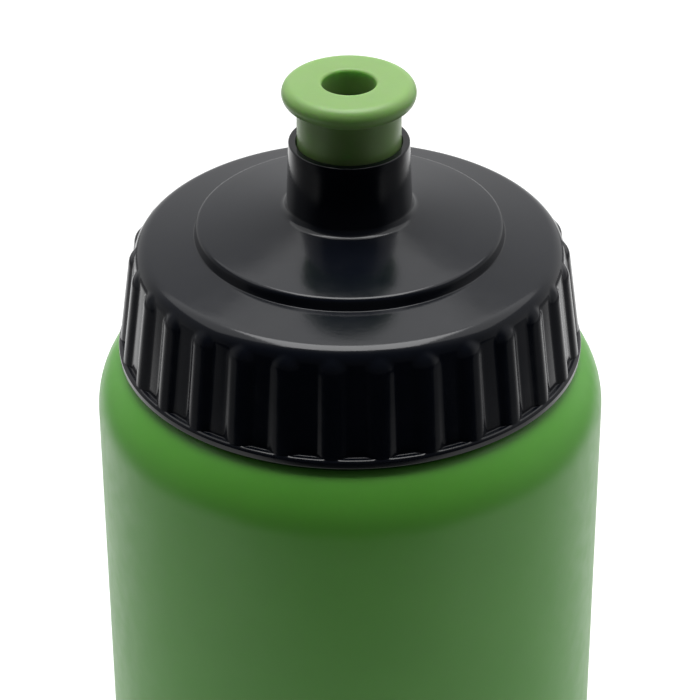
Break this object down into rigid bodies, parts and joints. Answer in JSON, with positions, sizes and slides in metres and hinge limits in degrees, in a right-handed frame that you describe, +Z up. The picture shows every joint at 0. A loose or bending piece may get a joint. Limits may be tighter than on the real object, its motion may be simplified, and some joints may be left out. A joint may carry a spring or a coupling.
{
  "type": "sports squeeze bottle",
  "caption": "Soft squeeze bottle with a rounded shoulder, a ribbed screw lid with a raised disc and collar, and a flanged push-pull drinking spout.",
  "frame": {"origin": "centre of the base, on the surface that the bottle stands on", "axes": "+Z up along the bottle's axis; -Y is the front"},
  "size_m": [0.073, 0.073, 0.19],
  "materials": {
    "bottle_plastic": "satin moulded polyethylene",
    "lid_plastic": "semi-gloss moulded polypropylene",
    "gasket_rubber": "matt",
    "core_plastic": "semi-gloss moulded polypropylene",
    "spout_plastic": "satin moulded polyethylene",
    "seal_rubber": "matt"
  },
  "bodies": {
    "bottle": {"bottle_body": "bottle_plastic"},
    "gasket": {"lid_gasket": "gasket_rubber"},
    "lid": {"screw_lid": "lid_plastic", "valve_core": "core_plastic"},
    "seal": {"spout_seal": "seal_rubber"},
    "spout": {"pull_spout": "spout_plastic"}
  },
  "joints": [
    {"name": "lid_rise", "type": "slide", "parent": "bottle", "child": "gasket", "axis": [0, 0, 1], "range_m": [0, 0.015]},
    {"name": "lid_turn", "type": "hinge", "parent": "gasket", "child": "lid", "pos_m": [0, 0, 0.1484], "axis": [0, 0, 1], "range_deg": [0, 900]},
    {"name": "spout_pull", "type": "slide", "parent": "lid", "child": "seal", "axis": [0, 0, 1], "range_m": [-0.0055, 0]},
    {"name": "spout_spin", "type": "hinge", "parent": "seal", "child": "spout", "pos_m": [0, 0, 0.18], "axis": [0, 0, 1], "continuous": true}
  ],
  "couplings": [
    {"joint": "lid_rise", "follows": "lid_turn", "m_per_rad": 0.00095492}
  ]
}
